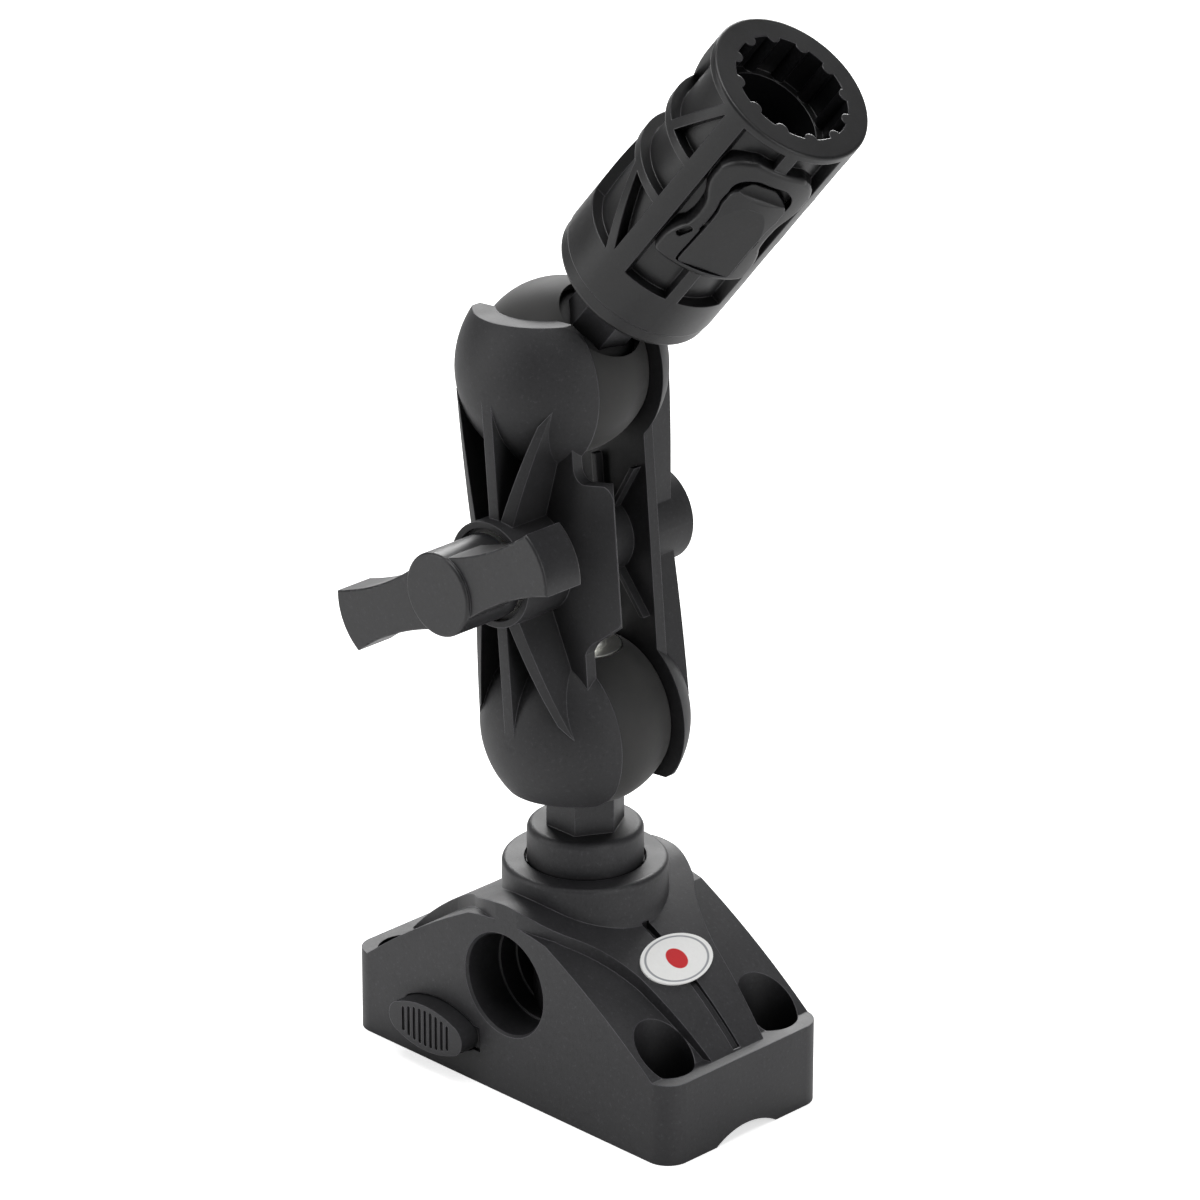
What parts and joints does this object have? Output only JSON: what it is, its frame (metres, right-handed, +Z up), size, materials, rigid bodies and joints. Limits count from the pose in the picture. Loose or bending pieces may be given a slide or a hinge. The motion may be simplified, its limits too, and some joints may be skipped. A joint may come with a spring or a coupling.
{
  "type": "rod holder",
  "caption": "Articulated fishing rod holder mount: quick-release deck base, ball post, two-piece clamping arm with T-knob, and a splined receiver tube with a latch.",
  "frame": {"origin": "centre of the base's underside, on the post axis", "axes": "+Z up along the post; +X along the base's long side, the way the receiver tube leans; -Y towards the side socket, the lock button and the T-knob"},
  "size_m": [0.1262, 0.0725, 0.2718],
  "materials": {
    "black_nylon": "fine moulded grain",
    "arm_nylon": "matte",
    "satin_nylon": "satin",
    "ball_rubber": "matte",
    "stainless": "brushed",
    "brass": "plain",
    "badge_print": "gloss"
  },
  "bodies": {
    "base": {"base_bracket": "black_nylon", "badge": "badge_print"},
    "lock": {"lock_slide": "black_nylon"},
    "post": {"lower_post": "black_nylon", "lower_ball_core": "arm_nylon", "lower_ball_washer": "stainless", "lower_ball_screw": "stainless"},
    "lower_cover": {"lower_ball_cover": "ball_rubber"},
    "arm_front": {"arm_half_front": "arm_nylon", "knob_washer": "stainless", "clamp_spring": "stainless"},
    "arm_rear": {"arm_half_rear": "arm_nylon", "clamp_bolt": "stainless"},
    "knob": {"knob": "satin_nylon", "knob_insert": "brass"},
    "upper_cover": {"upper_ball_cover": "ball_rubber"},
    "head": {"upper_post": "black_nylon", "upper_ball_core": "arm_nylon", "upper_ball_washer": "stainless", "upper_ball_screw": "stainless", "head_tube": "satin_nylon", "head_end_ring": "satin_nylon", "head_screw": "stainless", "latch_pin": "stainless", "latch_spring": "stainless"},
    "latch": {"latch_lever": "satin_nylon"}
  },
  "joints": [
    {"name": "post_lift", "type": "slide", "parent": "base", "child": "post", "axis": [0, 0, 1], "range_m": [0, 0.06]},
    {"name": "lock_push", "type": "slide", "parent": "base", "child": "lock", "axis": [0, 1, 0], "range_m": [0, 0.0044]},
    {"name": "lower_swivel", "type": "hinge", "parent": "post", "child": "lower_cover", "pos_m": [0, 0, 0.091], "axis": [0, 0, 1], "continuous": true},
    {"name": "lower_pitch", "type": "hinge", "parent": "lower_cover", "child": "arm_front", "pos_m": [0, 0, 0.091], "axis": [0, 1, 0], "range_deg": [-85, 95]},
    {"name": "knob_turn", "type": "hinge", "parent": "arm_front", "child": "knob", "pos_m": [-0.00386, 0, 0.13458], "axis": [0, -1, 0], "range_deg": [0, 720]},
    {"name": "clamp_open", "type": "slide", "parent": "arm_front", "child": "arm_rear", "axis": [0, 1, 0], "range_m": [0, 0.0025]},
    {"name": "upper_pitch", "type": "hinge", "parent": "arm_front", "child": "upper_cover", "pos_m": [-0.00772, 0, 0.17816], "axis": [0, 1, 0], "range_deg": [-138, 51]},
    {"name": "head_swivel", "type": "hinge", "parent": "upper_cover", "child": "head", "pos_m": [-0.00772, 0, 0.17816], "axis": [0.6193, 0.0777, 0.7813], "continuous": true},
    {"name": "latch_rock", "type": "hinge", "parent": "head", "child": "latch", "pos_m": [0.04974, -0.00462, 0.22779], "axis": [0.4239, 0.8045, -0.416], "range_deg": [0, 3]}
  ],
  "couplings": [
    {"joint": "knob_turn", "follows": "clamp_open", "rad_per_m": 5026.5}
  ]
}
